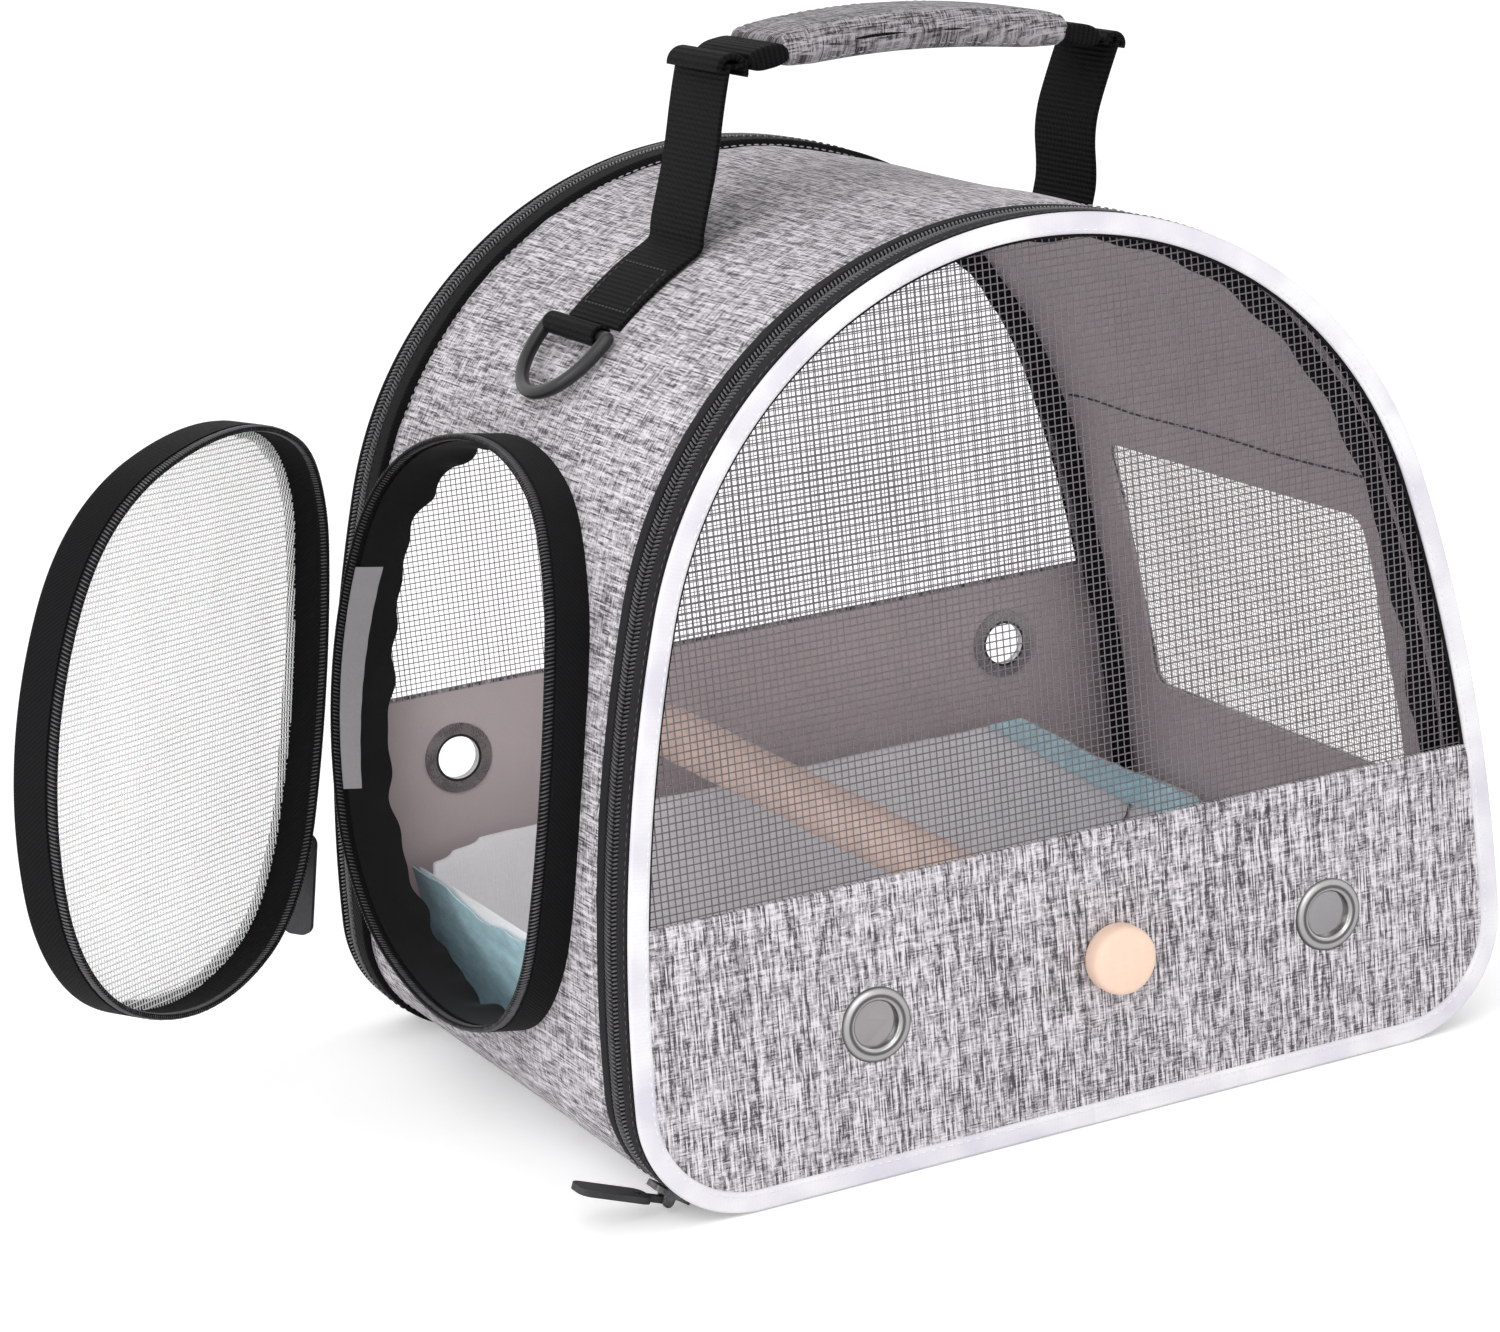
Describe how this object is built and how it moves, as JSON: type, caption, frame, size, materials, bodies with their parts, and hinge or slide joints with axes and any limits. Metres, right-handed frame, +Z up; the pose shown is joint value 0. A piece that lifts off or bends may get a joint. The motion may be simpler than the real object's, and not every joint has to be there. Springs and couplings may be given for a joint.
{
  "type": "bird travel carrier",
  "caption": "Arched soft carrier for a small bird, with net end panels that unzip, a round zipped side door, a perch, a floor pad and a webbing handle.",
  "frame": {"origin": "middle of the underside of the floor", "axes": "+Z up, -Y out of the front panel, +X to the right seen from the front; the side door is on the -X wall"},
  "size_m": [0.4604, 0.2481, 0.332],
  "materials": {
    "grey_linen": "grey slub linen-look woven polyester",
    "lining_cloth": "plain taupe lining cloth, slightly coated",
    "black_tape": "black twill zip tape",
    "black_coil": "black nylon zip coil",
    "black_binding": "black gathered seam binding",
    "white_binding": "white edge binding",
    "black_mesh": "open square net, black",
    "white_mesh": "fine white net",
    "pale_mesh": "fine pale net",
    "hinge_grey": "light grey tape",
    "board_grey": "stiff base board",
    "pad_white": "absorbent pad, quilted",
    "pad_blue": "thin blue film edge",
    "spring_wire": "spring steel wire",
    "nickel": "dark nickel plate",
    "zinc": "zinc plated steel",
    "wood": "bare pale wood",
    "webbing": "black ribbed webbing",
    "black_plastic": "moulded black plastic",
    "pull_rubber": "soft black moulded pull",
    "slider_black": "black lacquered zip slider"
  },
  "bodies": {
    "shell": {"shell_fabric": "grey_linen", "shell_lining": "lining_cloth", "window_mesh": "white_mesh", "window_edging": "black_binding", "front_body_tape": "black_tape", "front_body_coil": "black_coil", "back_body_tape": "black_tape", "back_body_coil": "black_coil", "front_seam_binding": "black_binding", "back_seam_binding": "black_binding", "base_board": "board_grey", "floor_pad": "pad_white", "pad_border": "pad_blue", "door_collar": "black_tape", "door_collar_coil": "black_coil", "door_facing": "black_binding", "door_hinge_tape": "hinge_grey", "roof_strap_left": "webbing", "roof_strap_right": "webbing"},
    "front_panel": {"front_binding": "white_binding", "front_mesh": "black_mesh", "front_band": "grey_linen", "front_band_lining": "lining_cloth", "front_panel_tape": "black_tape", "front_panel_coil": "black_coil", "front_frame_wire": "spring_wire", "front_eyelets": "nickel", "front_eyelet_washers": "nickel", "perch_dowel": "wood", "perch_screw": "zinc", "perch_washers": "zinc"},
    "perch_cap": {"perch_cap": "wood"},
    "back_panel": {"back_binding": "white_binding", "back_mesh": "black_mesh", "back_band": "grey_linen", "back_band_lining": "lining_cloth", "back_panel_tape": "black_tape", "back_panel_coil": "black_coil", "back_frame_wire": "spring_wire", "back_eyelets": "nickel", "back_eyelet_washers": "nickel"},
    "door": {"door_mesh": "pale_mesh", "door_rim": "black_tape", "door_coil": "black_coil"},
    "door_slider": {"door_slider": "slider_black"},
    "door_pull": {"door_pull": "pull_rubber"},
    "front_slider": {"front_slider": "slider_black"},
    "front_pull": {"front_pull": "pull_rubber"},
    "back_slider": {"back_slider": "slider_black"},
    "back_pull": {"back_pull": "pull_rubber"},
    "riser_left": {"riser_left": "webbing"},
    "riser_right": {"riser_right": "webbing"},
    "grip": {"grip_pad": "grey_linen", "grip_strap": "webbing", "grip_cuffs": "webbing"},
    "d_ring_left": {"d_ring_left": "black_plastic"},
    "d_ring_right": {"d_ring_right": "black_plastic"}
  },
  "joints": [
    {"name": "front_panel_hinge", "type": "hinge", "parent": "shell", "child": "front_panel", "pos_m": [0, -0.12, 0], "axis": [1, 0, 0], "range_deg": [0, 78]},
    {"name": "back_panel_hinge", "type": "hinge", "parent": "shell", "child": "back_panel", "pos_m": [0, 0.12, 0], "axis": [-1, 0, 0], "range_deg": [0, 90]},
    {"name": "door_hinge", "type": "hinge", "parent": "shell", "child": "door", "pos_m": [-0.15537, 0.093, 0.12871], "axis": [-0.1685, 0, -0.9857], "range_deg": [-47, 83]},
    {"name": "perch_cap_spin", "type": "hinge", "parent": "front_panel", "child": "perch_cap", "pos_m": [0.0105, -0.1201, 0.052], "axis": [0, -1, 0], "continuous": true},
    {"name": "handle_lean", "type": "hinge", "parent": "shell", "child": "riser_left", "pos_m": [-0.06, 0, 0.26894], "axis": [0, 1, 0], "range_deg": [-60, 30]},
    {"name": "handle_lean_right", "type": "hinge", "parent": "shell", "child": "riser_right", "pos_m": [0.076, 0, 0.25983], "axis": [0, 1, 0], "range_deg": [-60, 30]},
    {"name": "grip_fold", "type": "hinge", "parent": "riser_left", "child": "grip", "pos_m": [-0.04512, 0, 0.32085], "axis": [0, 1, 0], "range_deg": [-30, 60]},
    {"name": "d_ring_left_swing", "type": "hinge", "parent": "shell", "child": "d_ring_left", "pos_m": [-0.095, 0, 0.24619], "axis": [0, 1, 0], "range_deg": [0, 150]},
    {"name": "d_ring_right_swing", "type": "hinge", "parent": "shell", "child": "d_ring_right", "pos_m": [0.11145, 0, 0.22773], "axis": [0, -1, 0], "range_deg": [0, 150]},
    {"name": "front_slider_travel", "type": "hinge", "parent": "shell", "child": "front_slider", "pos_m": [-0.113, -0.1019, 0.037], "axis": [0, 1, 0], "range_deg": [-3, 50]},
    {"name": "front_pull_swing", "type": "hinge", "parent": "front_slider", "child": "front_pull", "pos_m": [-0.13643, -0.1019, 0.00354], "axis": [0, 1, 0], "range_deg": [-20, 4]},
    {"name": "back_slider_travel", "type": "hinge", "parent": "shell", "child": "back_slider", "pos_m": [0.113, 0.1079, 0.037], "axis": [0, -1, 0], "range_deg": [-3, 50]},
    {"name": "back_pull_swing", "type": "hinge", "parent": "back_slider", "child": "back_pull", "pos_m": [0.13769, 0.1079, 0.00174], "axis": [0, -1, 0], "range_deg": [-20, 4]},
    {"name": "door_slider_travel", "type": "hinge", "parent": "door", "child": "door_slider", "pos_m": [-0.21086, 0.05183, 0.11182], "axis": [-0.6723, 0.7314, 0.1149], "range_deg": [0, 40]},
    {"name": "door_pull_swing", "type": "hinge", "parent": "door_slider", "child": "door_pull", "pos_m": [-0.16914, 0.09454, 0.08405], "axis": [-0.6723, 0.7314, 0.1149], "range_deg": [-25, 2]}
  ],
  "couplings": [
    {"joint": "grip_fold", "follows": "handle_lean", "ratio": -1},
    {"joint": "handle_lean_right", "follows": "handle_lean", "ratio": 1}
  ]
}
